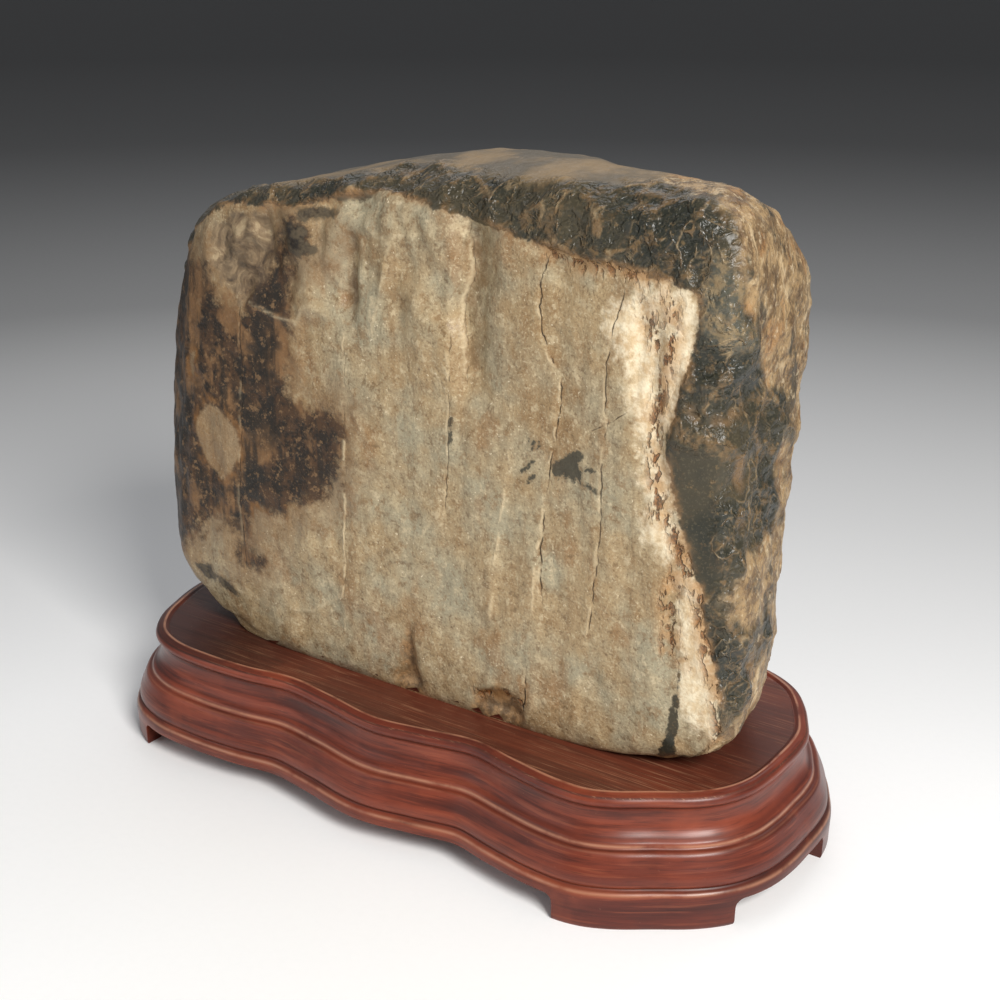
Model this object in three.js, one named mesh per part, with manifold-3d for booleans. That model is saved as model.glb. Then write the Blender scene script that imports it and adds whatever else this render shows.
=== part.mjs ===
// Scholar's rock on its carved stand.  Millimetres, +Z up, +X along the stand, front face of the stone at -Y.
import * as THREE from 'three';
import { mergeVertices } from 'three/addons/utils/BufferGeometryUtils.js';
import Module from 'manifold-3d';

// ---- driving dimensions: stand ----
const STAND_TOP = 44.6;            // height of the flat top above the floor
const OUTLINE_STEPS = 104;         // points round the lobed plan outline
// Plan outline of the top bead, all the way round from the middle of the left end.
const OUTLINE = [
  [-132.5, 0], [-131.2, -12], [-127.6, -24], [-122, -37.5],     // left end and its front corner
  [-112.5, -48.8], [-100, -54.4], [-82, -56], [-62, -55],       // left lobe
  [-42, -52], [-22, -54.3], [3, -58], [22, -54.8], [42, -51],   // valley, middle lobe, valley
  [60, -54], [78, -56.6], [90, -56],                            // right lobe
  [98, -52.7], [109, -45.2], [120, -37.4], [126.5, -30.2],      // slanted front corner
  [130.7, -21], [132.3, -10], [132.5, 0], [132.3, 10],          // right end
  [130.8, 19.5], [126.2, 29.5], [121, 38.5], [114, 47],         // back corner, a little fuller
  [102, 54], [90, 56.4], [78, 56.6],
  [60, 54], [42, 51], [22, 54.8], [3, 58], [-22, 54.3],         // back, as the front
  [-42, 52], [-62, 55], [-82, 56], [-100, 54.4],
  [-112.5, 48.8], [-122, 37.5], [-127.6, 24], [-131.2, 12],
];
// Moulding profile, top to bottom: [distance outside the top bead line, height].
const MOULDING = [
  [-1.6, STAND_TOP - 1.2],   // foot of the raised bead, edge of the flat top
  [-0.6, STAND_TOP - 0.1],   // crest of the top bead
  [1.2, STAND_TOP - 0.3],
  [3.2, 43.0],               // outer nose of the top tier
  [3.7, 41.4],
  [2.4, 39.4],               // quirk under the top tier
  [2.0, 36.5],               // cove
  [2.6, 32.8],
  [4.3, 29.6],               // small step under the cove
  [6.0, 27.0],               // crest of the middle bead
  [8.6, 25.0],               // outer nose of the middle bead
  [10.3, 21.6],              // apron
  [11.9, 17.4],              // fullest part of the apron
  [11.4, 14.2],              // waist above the lip
  [13.0, 12.4],              // lip
  [13.5, 9.7],               // lower rim
  [13.5, 0],                 // outer face of the feet
];
const WALL_INSET = 2.5;            // underside hollow wall, measured outside the top bead line
const HOLLOW_HEIGHT = 19;          // height of the underside hollow
const APRON_EDGE = 9.7;            // lower edge of the apron between the feet
const BRACKET_RADIUS = 3;          // small curve where a foot meets the apron
const BRACKET_STEPS = 5;
const LONG_GAP = [-110, 86];       // gap between the feet along the long sides, in X
const END_GAP = [-38, 14];         // gap between the feet at the two ends, in Y
const CUT_REACH = 400;             // length of a cutter that passes right through
const CUT_BELOW = 5;               // how far cutters run below the floor
const SEAT_GAP = 0.35;             // clearance between the stone and its seat

// ---- driving dimensions: stone ----
const STONE_CENTRE = new THREE.Vector3(4, 3, 128);
const STONE_SEGMENTS = [28, 11, 22];      // surface grid along X, Y, Z
const STONE_PROPORTIONS = [240, 92, 200]; // rough block the surface grid is spread over
const STONE_BOTTOM = 39.6;                // lowest point of the stone, sunk in its seat
const EDGE_SHARPNESS = 18;                // higher gives tighter rounding between the flats
// The natural flats that bound the stone: [compass angle from +X, lift above level, distance from centre].
const STONE_FLATS = {
  front: [-89.5, 0.5, 37.7],
  back: [92, -4, 44],
  leftEnd: [174, -6, 141.7],
  rightEnd: [6, 2, 119.4],
  top: [-95, 70, 108.8],
  topLeft: [171, 75, 108],
  topRight: [10, 89, 119.7],
  topBack: [79, 57, 104.3],
  topFrontBevel: [-90, 42, 100.3],
  topLeftCorner: [181, 39.5, 141],
  topRightBackCorner: [51, 57, 127.4],
  rightBackCorner: [41, -7, 104.4],
  leftBackCorner: [135, 0, 112],
  frontRightCorner: [-57, 6, 113.3],
  frontLeftCorner: [-125, 6, 94.9],
  bottomLeftRise: [178, -51, 133],
  bottomRightTuck: [-4, -70, 112.3],
  bottomFrontBevel: [-94, -44.5, 94.3],
  bottomBackBevel: [90, -45, 94],
  bottom: [0, -90, 88],
};
// Shallow hollows worn into the stone: [x, y, z, half width, half height, depth].
const STONE_HOLLOWS = {
  mainFlute: [29, -36, 194, 7, 30, 3.2],        // soft upright flute in the front
  leftFlute: [-20, -36, 196, 6, 22, 2.0],       // its shorter neighbour
  middleFold: [60, -36, 150, 9, 60, 1.0],       // long faint fold
  endScoop: [126, -16, 158, 26, 34, 4.5],       // conchoidal scoop round the dark end
  topSaddle: [66, 34, 230, 14, 18, 6.5],        // dip in the skyline
};
const GRID_CROWDING = 0.6;         // how strongly the surface grid crowds towards the rounded edges

// ---- plan outline and moulding of the stand ----
function planOutline() {
  const points = OUTLINE.map(([x, y]) => new THREE.Vector3(x, y, 0));
  return new THREE.CatmullRomCurve3(points, true, 'centripetal');
}

function outlineRing(curve, outward, height) {
  const ring = [];
  for (let i = 0; i < OUTLINE_STEPS; i++) {
    const t = i / OUTLINE_STEPS;
    const p = curve.getPointAt(t);
    const dir = curve.getTangentAt(t);
    ring.push(new THREE.Vector3(p.x + dir.y * outward, p.y - dir.x * outward, height));
  }
  return ring;
}

// Closed body through a stack of rings listed from top to bottom, capped flat at both ends.
function loft(rings) {
  const n = rings[0].length;
  const position = [];
  const index = [];
  rings.flat().forEach((p) => position.push(p.x, p.y, p.z));
  for (let r = 0; r + 1 < rings.length; r++) {
    for (let i = 0; i < n; i++) {
      const a = r * n + i;
      const b = r * n + ((i + 1) % n);
      index.push(a, a + n, b, b, a + n, b + n);
    }
  }
  const last = rings.length - 1;
  const caps = [[0, false], [last, true]];
  for (const [r, flip] of caps) {
    const flat = rings[r].map((p) => new THREE.Vector2(p.x, p.y));
    for (const [a, b, c] of THREE.ShapeUtils.triangulateShape(flat, [])) {
      const face = flip ? [a, c, b] : [a, b, c];
      index.push(...face.map((i) => i + r * n));
    }
  }
  const geometry = new THREE.BufferGeometry();
  geometry.setAttribute('position', new THREE.Float32BufferAttribute(position, 3));
  geometry.setIndex(index);
  return geometry;
}

function mouldedBlock(curve) {
  return loft(MOULDING.map(([outward, height]) => outlineRing(curve, outward, height)));
}

function undersideHollow(curve) {
  return loft([
    outlineRing(curve, WALL_INSET, HOLLOW_HEIGHT),
    outlineRing(curve, WALL_INSET, -CUT_BELOW),
  ]);
}

// Straight cutter with the two upper corners rounded, run right through the stand.
function footGap([from, to], alongX) {
  const shape = new THREE.Shape();
  shape.moveTo(from, -CUT_BELOW);
  shape.lineTo(to, -CUT_BELOW);
  shape.lineTo(to, APRON_EDGE - BRACKET_RADIUS);
  shape.absarc(to - BRACKET_RADIUS, APRON_EDGE - BRACKET_RADIUS, BRACKET_RADIUS, 0, Math.PI / 2, false);
  shape.absarc(from + BRACKET_RADIUS, APRON_EDGE - BRACKET_RADIUS, BRACKET_RADIUS, Math.PI / 2, Math.PI, false);
  const bar = new THREE.ExtrudeGeometry(shape, {
    depth: CUT_REACH, bevelEnabled: false, curveSegments: BRACKET_STEPS,
  });
  bar.translate(0, 0, -CUT_REACH / 2);
  bar.rotateX(Math.PI / 2);
  if (alongX) bar.rotateZ(Math.PI / 2);
  return bar;
}

// ---- stone ----
function flatNormal(compass, lift) {
  const a = THREE.MathUtils.degToRad(compass);
  const e = THREE.MathUtils.degToRad(lift);
  return new THREE.Vector3(Math.cos(a) * Math.cos(e), Math.sin(a) * Math.cos(e), Math.sin(e));
}

// Distance from the stone's centre to its surface: all flats blended into one soft-edged body.
function stoneRadius(direction, flats) {
  let sum = 0;
  for (const { normal, distance } of flats) {
    const t = Math.max(0, direction.dot(normal) / distance);
    sum += t ** EDGE_SHARPNESS;
  }
  return sum ** (-1 / EDGE_SHARPNESS);
}

// How far all the shallow hollows push the surface in at one point.
function hollowDepth(p) {
  let depth = 0;
  for (const [x, y, z, halfWidth, halfHeight, deep] of Object.values(STONE_HOLLOWS)) {
    const across = Math.hypot(p.x - x, p.y - y) / halfWidth;
    const along = (p.z - z) / halfHeight;
    depth += deep * Math.exp(-across * across - along ** 4);
  }
  return depth;
}

// Moves a grid line from its even place towards the nearer edge of the block.
function crowd(value, extent) {
  const half = extent / 2;
  const t = value / half;
  return half * ((1 - GRID_CROWDING) * t + GRID_CROWDING * Math.sin(t * Math.PI / 2));
}

function blockGrid() {
  const box = new THREE.BoxGeometry(...STONE_PROPORTIONS, ...STONE_SEGMENTS);
  box.deleteAttribute('normal');
  box.deleteAttribute('uv');
  return mergeVertices(box);
}

function stoneGeometry(grow) {
  const flats = Object.values(STONE_FLATS).map(([compass, lift, distance]) => (
    { normal: flatNormal(compass, lift), distance: distance + grow }));
  const geometry = blockGrid();
  const position = geometry.attributes.position;
  const [width, depth, height] = STONE_PROPORTIONS;
  const p = new THREE.Vector3();
  const direction = new THREE.Vector3();
  for (let i = 0; i < position.count; i++) {
    p.fromBufferAttribute(position, i);
    direction.set(crowd(p.x, width), crowd(p.y, depth), crowd(p.z, height)).normalize();
    const radius = stoneRadius(direction, flats);
    p.copy(STONE_CENTRE).addScaledVector(direction, radius);
    p.addScaledVector(direction, -hollowDepth(p));
    p.z = Math.max(p.z, STONE_BOTTOM - grow);
    position.setXYZ(i, p.x, p.y, p.z);
  }
  return geometry;
}

// ---- cutting ----
function toSolid(wasm, geometry) {
  const merged = mergeVertices(new THREE.BufferGeometry()
    .setAttribute('position', geometry.attributes.position.clone())
    .setIndex(geometry.index ? geometry.index.clone() : null));
  return new wasm.Manifold(new wasm.Mesh({
    numProp: 3,
    vertProperties: Float32Array.from(merged.attributes.position.array),
    triVerts: Uint32Array.from(merged.index.array),
  }));
}

function toGeometry(solid) {
  const mesh = solid.getMesh();
  const geometry = new THREE.BufferGeometry();
  geometry.setAttribute('position', new THREE.Float32BufferAttribute(mesh.vertProperties, 3));
  geometry.setIndex(Array.from(mesh.triVerts));
  return geometry;
}

function standGeometry(wasm) {
  const curve = planOutline();
  const cutters = [
    undersideHollow(curve),
    footGap(LONG_GAP, false),
    footGap(END_GAP, true),
    stoneGeometry(SEAT_GAP),
  ];
  let solid = toSolid(wasm, mouldedBlock(curve));
  for (const cutter of cutters) solid = solid.subtract(toSolid(wasm, cutter));
  return toGeometry(solid);
}

// ---- assembly ----
function namedMesh(name, geometry, colour, roughness) {
  const mesh = new THREE.Mesh(geometry, new THREE.MeshStandardMaterial({ color: colour, roughness }));
  mesh.name = name;
  return mesh;
}

const wasm = await Module();
wasm.setup();

const rock = namedMesh('rock', stoneGeometry(0), 0x9a8f74, 0.55);
const stand = namedMesh('stand', standGeometry(wasm), 0x6b2f1c, 0.35);

const scholarsRock = new THREE.Group();
scholarsRock.name = 'scholars_rock';
scholarsRock.add(stand, rock);

export default scholarsRock;
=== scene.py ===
import bpy, math
import numpy as np
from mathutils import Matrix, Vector, noise


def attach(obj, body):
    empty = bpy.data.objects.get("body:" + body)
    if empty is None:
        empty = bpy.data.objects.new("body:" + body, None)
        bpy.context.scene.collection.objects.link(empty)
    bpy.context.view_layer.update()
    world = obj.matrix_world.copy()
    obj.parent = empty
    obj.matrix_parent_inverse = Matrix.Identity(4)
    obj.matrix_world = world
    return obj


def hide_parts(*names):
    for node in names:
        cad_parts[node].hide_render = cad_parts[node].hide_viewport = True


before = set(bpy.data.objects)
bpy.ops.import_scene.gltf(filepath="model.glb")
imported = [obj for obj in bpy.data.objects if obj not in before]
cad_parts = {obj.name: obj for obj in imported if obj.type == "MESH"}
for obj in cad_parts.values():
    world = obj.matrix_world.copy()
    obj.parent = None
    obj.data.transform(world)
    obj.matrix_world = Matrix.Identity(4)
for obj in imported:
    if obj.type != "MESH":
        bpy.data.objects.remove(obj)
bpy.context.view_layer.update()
MM = 0.001

# ------------------------------------------------------------------ small maths
def srgb(r, g, b):
    """Linear colour from 0..255 display values."""
    f = lambda c: c / 12.92 if c <= 0.04045 else ((c + 0.055) / 1.055) ** 2.4
    return (f(r / 255), f(g / 255), f(b / 255), 1.0)


def step(a, b, x):
    """Smooth 0..1 as x goes from a to b."""
    t = np.clip((x - a) / (b - a), 0, 1)
    return t * t * (3 - 2 * t)


def fractal(P, size, octaves, seed, stretch=(1, 1, 1)):
    """Perlin noise of about -1..1 whose features are size mm across."""
    q = P * np.array(stretch) / size + seed * 17.3
    return np.array([noise.fractal(Vector(p), 0.9, 2.0, octaves, noise_basis="PERLIN_ORIGINAL") for p in q])


def cells(P, size, seed, stretch=(1, 1, 1)):
    """Distance to the nearest and second nearest of the scattered points, in mm."""
    q = P * np.array(stretch) / size + seed * 11.7
    d = np.array([noise.voronoi(Vector(p))[0][:2] for p in q])
    return d[:, 0] * size, d[:, 1] * size


def segments_distance(U, pts, closed):
    """Distance to a line or a closed outline, in mm."""
    A = np.array(pts, float)
    B = np.roll(A, -1, 0)
    if not closed:
        A, B = A[:-1], B[:-1]
    best = np.full(len(U), 1e9)
    for a, b in zip(A, B):
        ab = b - a
        t = np.clip(((U - a) @ ab) / max(ab @ ab, 1e-9), 0, 1)
        best = np.minimum(best, np.hypot(*(U - a - t[:, None] * ab).T))
    return best


def rounded(pts):
    """The outline with its corners cut twice, so it runs in curves."""
    A = np.array(pts, float)
    for _ in range(2):
        B = np.roll(A, -1, 0)
        A = np.stack([0.75 * A + 0.25 * B, 0.25 * A + 0.75 * B], 1).reshape(-1, 2)
    return A


def region(U, pts, curved=False):
    """Signed distance to an outline, positive inside, in mm; curved takes the sign from the rounded outline."""
    A = rounded(pts) if curved else np.array(pts, float)
    B = np.roll(A, -1, 0)
    inside = np.zeros(len(U), bool)
    for (ax, ay), (bx, by) in zip(A, B):
        cross = (ay > U[:, 1]) != (by > U[:, 1])
        if abs(by - ay) > 1e-9:
            inside ^= cross & (U[:, 0] < (bx - ax) * (U[:, 1] - ay) / (by - ay) + ax)
    d = segments_distance(U, pts, True)
    return np.where(inside, d, -d)


def crack(U, pts, along):
    """Signed offset across a crack and its strength, which fades out at both ends."""
    pts = sorted(pts, key=lambda p: p[along])
    s = [p[along] for p in pts]
    w = [p[1 - along] for p in pts]
    offset = U[:, 1 - along] - np.interp(U[:, along], s, w)
    fade = step(s[0] - 1, s[0] + 5, U[:, along]) * (1 - step(s[-1] - 5, s[-1] + 1, U[:, along]))
    return offset, fade


# ------------------------------------------------------------------ the stone's markings
# Outlines and lines on the unrolled front, in mm: across from the middle, and up from the floor.
FACE = [(-150, 180), (-128, 196), (-102, 208), (-81, 217), (-49, 218), (-25, 225), (-9, 229), (7, 226), (26, 223),
        (40, 220), (60, 216), (80, 214), (96, 212), (110, 210), (113, 207), (113, 198), (110, 186), (107, 175),
        (104, 161), (104, 151), (109, 136), (114, 122), (118, 113), (120, 99), (124, 89), (127, 73), (127, 62),
        (118, 49), (60, 30), (-150, 30)]
STAIN = [(-150, 200), (-114, 196), (-97, 193), (-86, 181), (-74, 178), (-62, 194), (-59, 205), (-48, 213), (-38, 210),
         (-40, 203), (-50, 198), (-52, 188), (-50, 175), (-52, 162), (-52, 150), (-46, 146), (-31, 147), (-25, 140),
         (-28, 129), (-33, 119), (-40, 111), (-49, 106), (-58, 99), (-66, 100), (-74, 99), (-75, 85), (-70, 79),
         (-73, 74), (-80, 75), (-83, 87), (-90, 93), (-101, 89), (-108, 78), (-120, 70), (-150, 66)]
WINDOW = [(-94, 139), (-86, 137), (-79, 130), (-78, 122), (-82, 113), (-89, 108), (-96, 111), (-100, 118),
          (-103, 125), (-100, 134)]
PALE_SPOTS = [[(-72, 101), (-68, 100), (-62, 92), (-64, 86), (-69, 88), (-72, 95)],
              [(-53, 104), (-49, 105), (-47, 98), (-52, 96)],
              [(-108, 155), (-103, 157), (-102, 149), (-106, 146)]]
BAND = [(92, 209), (110, 210), (112, 204), (112, 191), (109, 181), (105, 171), (103, 161), (104, 151), (108, 137),
        (111, 127), (103, 120), (97, 133), (95, 146), (93, 162), (91, 172), (87, 181), (83, 193), (85, 203)]
LOWER_BAND = [(112, 122), (117, 112), (120, 99), (124, 89), (127, 73), (126, 60), (112, 66), (111, 80), (112, 92),
              (109, 104)]
RUST_LINES = [[(103, 206), (104, 192), (101, 178), (99, 163), (100, 147), (102, 135)],
              [(94, 202), (97, 195), (99, 191)],
              [(110, 118), (106, 107), (108, 97), (107, 90), (112, 86)],
              [(105, 136), (112, 121), (117, 113), (120, 96), (126, 76), (128, 61)],
              [(60, 216), (72, 213), (80, 214), (96, 212)],
              [(33, 52), (41, 55), (50, 55)]]
CRACK_A = [(60, 215), (56, 204), (57, 189), (60, 182), (64.5, 172), (63, 157), (61, 145), (59, 130), (58, 121),
           (57, 102), (58, 93)]
CRACK_B = [(88, 208), (84, 195), (81, 181), (82, 162), (81, 143), (80, 122), (79, 111), (78, 98), (76, 82)]
CRACK_G = [(26, 223), (27, 203), (24, 195), (23, 188), (25, 180), (25.5, 164)]
CRACK_H = [(21, 184), (20, 166), (19.5, 152), (20, 139), (18, 123), (17, 112)]
CRACK_L = [(-74, 180), (-77, 131), (-79.5, 102), (-78, 74)]
CRACK_F = [(-25, 177), (-26, 140), (-27, 98), (-29, 60)]
CRACK_X = [(74, 157.5), (82, 162), (90, 168)]
SLIT = [(52.7, 67), (52.3, 60), (51, 48)]
FOLD_1 = [(46, 155), (43, 128), (40, 106), (37, 80)]
FOLD_2 = [(57.5, 118), (56, 106), (55, 88)]
STEP_LINE = [(104, 165.5), (115, 164), (121, 166), (132, 168)]
RIDGES = [[(-31, 197), (-28, 193), (-23.5, 189)], [(-48, 176), (-43, 183), (-39, 184), (-33, 181)],
          [(-69, 181), (-57, 177), (-49, 176.6)], [(-21, 148), (-18, 143), (-15, 138)],
          [(-13, 177), (-9, 194), (-3, 211)], [(-15, 215), (-4, 210)], [(-54, 63), (-45, 64.5), (-36, 71), (-28, 76)]]
FLAKES = [[(124.8, 161.3), (124.5, 154), (126.6, 147), (129.4, 141), (131.7, 144.4), (132.3, 151), (129.7, 159.5)],
          [(131.8, 160.3), (133.8, 150.3), (136, 143.5), (141.2, 138.6), (142.6, 145.7), (140.9, 154.7)],
          [(119.9, 104), (122.4, 104.9), (125.9, 104.5), (127.9, 100.6), (126.5, 94), (122.5, 89), (119, 96)],
          [(123.2, 89.2), (126.5, 94.1), (131.1, 95.6), (135.3, 87.2), (139.4, 80.3), (134, 72), (129, 76), (125, 82)],
          [(123, 79), (127.2, 81.7), (129, 75.2), (127, 70), (123.5, 72)],
          [(120.5, 127), (122.2, 134), (124, 137.7), (128.5, 139.1), (134, 136.1), (133, 128), (127, 124)],
          [(108, 175.5), (110.6, 184), (115, 179), (117, 171), (116, 166), (111, 168)],
          [(108, 189), (113.5, 193), (121, 196), (127, 198), (126, 186), (117, 181), (110, 184)],
          [(117, 181), (126, 186), (134, 184), (134, 174), (126, 167), (117, 168)],
          [(106, 214), (104, 224), (108, 231), (115, 227), (116, 216), (112, 208)]]
SCARS = [STEP_LINE, [(122.2, 134), (124, 137.7), (128.5, 139.1), (134, 136.1)], [(104, 150), (114, 152), (124, 149)],
         [(104, 224), (110, 214), (113, 203)]]
CRUST = [(108, 240), (118, 235), (123, 224), (126.5, 212), (131, 201), (135, 189), (142, 175), (146, 156), (146, 139),
         (144, 126), (134, 123), (126, 118), (125, 111), (132, 103), (140, 88), (137, 73), (128, 69), (120, 57),
         (118, 40), (210, 40), (210, 270), (100, 270), (94, 246)]
GREY_PATCH = [(113.4, 208), (116, 219), (120, 223), (124, 216), (127, 206), (131, 196), (125, 193), (118, 194),
              (114, 198)]
SMOOTH_DARK = [(104, 161), (115, 160), (123, 160), (124, 150), (122, 144), (121, 131), (125, 122), (122, 111),
               (116, 110), (112, 123), (108, 135), (104, 148)]
NOTCH = [(0.8, 71), (-6, 46), (-6, 36), (7, 36), (6, 46)]
LEDGE = [(30, 53), (41, 57), (51, 55), (52, 36), (28, 36)]
POCKET = [(-89, 208), (-76, 214), (-62, 214), (-58, 205), (-64, 192), (-71, 182), (-75, 180), (-83, 186), (-88, 196)]
BLOB = [(-52, 208), (-48, 213), (-42, 211), (-42, 206), (-38, 204), (-44, 202), (-50, 202)]
TEAL = [[(-33, 226), (-26, 230), (-13, 228), (-19, 225), (-28, 224)],
        [(-45, 217), (-37, 220), (-28, 218), (-42, 214.5)]]
LOZENGES = [[(-107, 68), (-99, 70), (-97, 64), (-102, 63)], [(-96, 66), (-90, 65), (-84, 61), (-90, 60)]]
MARK = [(60.7, 144), (64.6, 147), (68.4, 150), (72.2, 151.7), (73.8, 150.3), (72.6, 148), (71.4, 146.4), (73.7, 144.4),
        (72.5, 139.7), (70.6, 142.6), (69.4, 139.6), (67.8, 142), (66.4, 138.8), (65.2, 141.8), (63, 139), (61.9, 142)]
DASHES = [[(54, 149), (52.8, 151)], [(56.7, 150), (56, 151.6)], [(49.8, 140), (53.7, 144)],
          [(51.8, 136.5), (54.5, 139)],
          [(75.4, 146.2), (77.7, 145.3)], [(74.4, 140.5), (79.8, 138.5)], [(20.5, 153), (20, 144)]]
WEDGE = [(112, 88), (110, 76), (108.6, 68), (107.4, 58), (104, 47), (99, 40), (118, 40), (111, 50), (111.5, 62),
         (111, 76)]
DOME_EDGE = [(-60, 226), (-30, 234), (-4, 245), (20, 241.5), (36, 238), (52, 237.5), (67, 239), (81, 243), (92, 245),
             (130, 262)]


# Lines that run across or along the face: name, points, which coordinate the line follows.
LINES = (("cr_a", CRACK_A, 1), ("cr_b", CRACK_B, 1), ("cr_g", CRACK_G, 1), ("cr_h", CRACK_H, 1), ("cr_l", CRACK_L, 1),
         ("cr_f", CRACK_F, 1), ("cr_x", CRACK_X, 0), ("cr_s", SLIT, 1), ("fo_1", FOLD_1, 1), ("fo_2", FOLD_2, 1))
# How deep each crack is cut and how high its left lip stands, in mm.
CRACK_RELIEF = (("cr_a", 0.35, 0.55), ("cr_b", 0.3, 0.4), ("cr_h", 0.2, 0.35), ("cr_l", 0.3, 0.0), ("cr_f", 0.1, 0.25),
                ("cr_x", 0.15, 0.1), ("cr_s", 1.2, 0.9))
# How dark each crack's line is and how pale its lip.
CRACK_SETS = {"crack_1": (("cr_a", 0.9, 0.6), ("cr_g", 0.35, 0.5), ("cr_l", 0.8, 0.2), ("cr_f", 0.2, 0.7),
                          ("cr_x", 0.8, 0.2), ("cr_s", 1.0, 0.5)),
              "crack_2": (("cr_b", 0.75, 0.4), ("cr_h", 0.5, 0.5), ("fo_1", 0.0, 0.6), ("fo_2", 0.0, 0.6))}


def unrolled(P):
    """The front as seen flat on; ends and top open outwards round it."""
    k = P[:, 1] + 36
    return np.column_stack([P[:, 0] * (1 + k / 240), 128 + (P[:, 2] - 128) * (1 + k / 200)])


def remeshed(source, voxel, smooth):
    """An even, softened copy of a mesh."""
    o = bpy.data.objects.new("tmp", source.data.copy())
    bpy.context.scene.collection.objects.link(o)
    m = o.modifiers.new("remesh", "REMESH")
    m.mode, m.voxel_size = "VOXEL", voxel
    s = o.modifiers.new("smooth", "SMOOTH")
    s.iterations, s.factor = smooth, 0.5
    mesh = bpy.data.meshes.new_from_object(o.evaluated_get(bpy.context.evaluated_depsgraph_get()))
    bpy.data.objects.remove(o)
    return mesh


def read(mesh, normals=False):
    a = np.empty(len(mesh.vertices) * 3)
    if normals:
        mesh.vertex_normals.foreach_get("vector", a)
    else:
        mesh.vertices.foreach_get("co", a)
    return a.reshape(-1, 3)


def write_attribute(mesh, name, values):
    a = mesh.attributes.new(name, "FLOAT", "POINT")
    a.data.foreach_set("value", np.asarray(values, np.float32))


def nearest(fields):
    return np.max(np.array(fields), axis=0)


def stone_fields(P):
    """Every marking as a field over the surface."""
    U = unrolled(P)
    ragged = 9 * fractal(P, 30, 3, 61) * step(60, 20, P[:, 0])
    front = np.maximum(step(16, -4, P[:, 1] + ragged), step(96, 112, P[:, 0]) * step(54, 42, P[:, 1]))
    f = {"front": front}
    back_off = 260 * (1 - front)
    f["face"] = region(U, FACE) - back_off
    f["stain"] = region(U, STAIN) - back_off
    f["window"] = nearest([region(U, WINDOW)] + [region(U, s) for s in PALE_SPOTS]) - back_off
    f["band"] = nearest([region(U, BAND), region(U, LOWER_BAND)]) - back_off
    f["pocket"] = region(U, POCKET) - back_off
    f["mark"] = nearest([region(U, MARK)] + [0.75 - segments_distance(U, d, False) for d in DASHES]) - back_off
    f["wedge"] = region(U, WEDGE) - back_off
    f["blob"] = nearest([region(U, BLOB)] + [region(U, t) for t in TEAL] + [region(U, t) for t in LOZENGES]) - back_off
    f["notch"] = nearest([region(U, NOTCH), region(U, LEDGE)]) - back_off
    f["rust"] = np.min([segments_distance(U, r, False) for r in RUST_LINES], axis=0) + back_off
    f["ridge"] = np.min([segments_distance(U, r, False) for r in RIDGES], axis=0) + back_off
    f["scar"] = np.min([segments_distance(U, r, False) for r in SCARS], axis=0) + back_off
    bend = 1.6 * np.column_stack([fractal(P, 9, 2, k) for k in (41, 42)])
    f["bowl"] = nearest([region(U + bend, r, True) for r in FLAKES]) - back_off
    f["smooth"] = region(U, SMOOTH_DARK) - back_off
    f["grey"] = region(U, GREY_PATCH) - back_off
    for name, pts, along in LINES:
        offset, fade = crack(U, pts, along)
        f[name], f[name + "_k"] = offset, fade * front
    dome = np.interp(U[:, 0], *zip(*DOME_EDGE))
    f["dome"] = U[:, 1] - dome - 60 * step(60, 40, P[:, 2] - 150 + 12 * fractal(P, 26, 3, 62))
    # the weathered ochre crust: the right back edge from the front, and a strip carried on round the back
    f["crust"] = np.maximum(region(U, CRUST) - back_off, 16 - np.abs(P[:, 0] - 108) - 60 * step(10, -4, P[:, 1]))
    return f


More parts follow.
